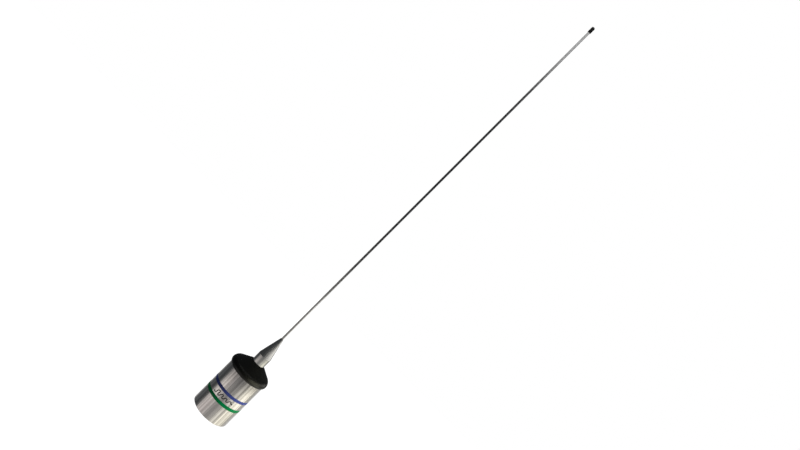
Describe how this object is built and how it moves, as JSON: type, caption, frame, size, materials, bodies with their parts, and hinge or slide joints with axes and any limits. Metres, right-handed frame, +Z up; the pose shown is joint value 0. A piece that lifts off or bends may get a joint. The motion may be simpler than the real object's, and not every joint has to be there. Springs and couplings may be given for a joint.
{
  "type": "marine VHF whip antenna",
  "caption": "Base-loaded omnidirectional whip antenna: stainless canister, black conical cap, tapered ferrule and thin whip over a threaded coax connector.",
  "frame": {"origin": "centre of the canister's flat bottom, in the plane that seats on the bracket", "axes": "+Z up along the whip; the coax connector points down -Z; the emblem on the canister faces -Y; the flat of the connector's barrel faces +X"},
  "size_m": [0.0768, 0.0768, 0.9264],
  "materials": {
    "brushed_stainless": "brushed along the axis",
    "polished_stainless": "fine polish",
    "satin_chrome": "satin chrome plate",
    "black_plastic": "satin moulded",
    "nickel_plate": "nickel-plated brass",
    "brass": "turned",
    "tinned_copper": "bright copper wire",
    "white_ptfe": "turned PTFE",
    "natural_acetal": "moulded",
    "black_rubber": "moulded",
    "zinc_steel": "zinc plated",
    "blue_vinyl": "semi-gloss vinyl",
    "green_vinyl": "semi-gloss vinyl",
    "emblem_film": "printed film"
  },
  "bodies": {
    "base": {"canister": "brushed_stainless", "cap": "black_plastic", "rim_gasket": "black_rubber", "blue_band": "blue_vinyl", "green_band": "green_vinyl", "emblem_film": "emblem_film", "feed_stud": "brass", "top_lug": "tinned_copper", "stud_lock_washer": "zinc_steel", "stud_nut": "zinc_steel", "coil_former": "natural_acetal", "coil_winding": "tinned_copper", "tap_lead": "tinned_copper", "ground_lug": "tinned_copper", "flange_screw_1": "zinc_steel", "flange_screw_2": "zinc_steel", "flange_screw_3": "zinc_steel", "flange_screw_4": "zinc_steel", "connector_body": "nickel_plate", "connector_insulator": "white_ptfe", "centre_contact": "nickel_plate", "connector_gasket": "black_rubber"},
    "ferrule_lift": {"ferrule_seal": "black_rubber"},
    "whip": {"ferrule": "satin_chrome", "whip_rod": "polished_stainless", "whip_tip": "black_plastic"},
    "washer_drop": {"mount_lock_washer": "zinc_steel"},
    "nut": {"mount_nut": "nickel_plate"}
  },
  "joints": [
    {"name": "whip_lift", "type": "slide", "parent": "base", "child": "ferrule_lift", "axis": [0, 0, 1], "range_m": [0, 0.012]},
    {"name": "whip_unscrew", "type": "hinge", "parent": "ferrule_lift", "child": "whip", "pos_m": [0, 0, 0.1145], "axis": [0, 0, 1], "range_deg": [0, 4082]},
    {"name": "nut_travel", "type": "slide", "parent": "base", "child": "washer_drop", "axis": [0, 0, -1], "range_m": [0, 0.0112]},
    {"name": "nut_unscrew", "type": "hinge", "parent": "washer_drop", "child": "nut", "pos_m": [0, 0, -0.001], "axis": [0, 0, -1], "range_deg": [0, 3810]}
  ],
  "couplings": [
    {"joint": "whip_unscrew", "follows": "whip_lift", "rad_per_m": 5936.9},
    {"joint": "nut_unscrew", "follows": "nut_travel", "rad_per_m": 5936.9}
  ]
}
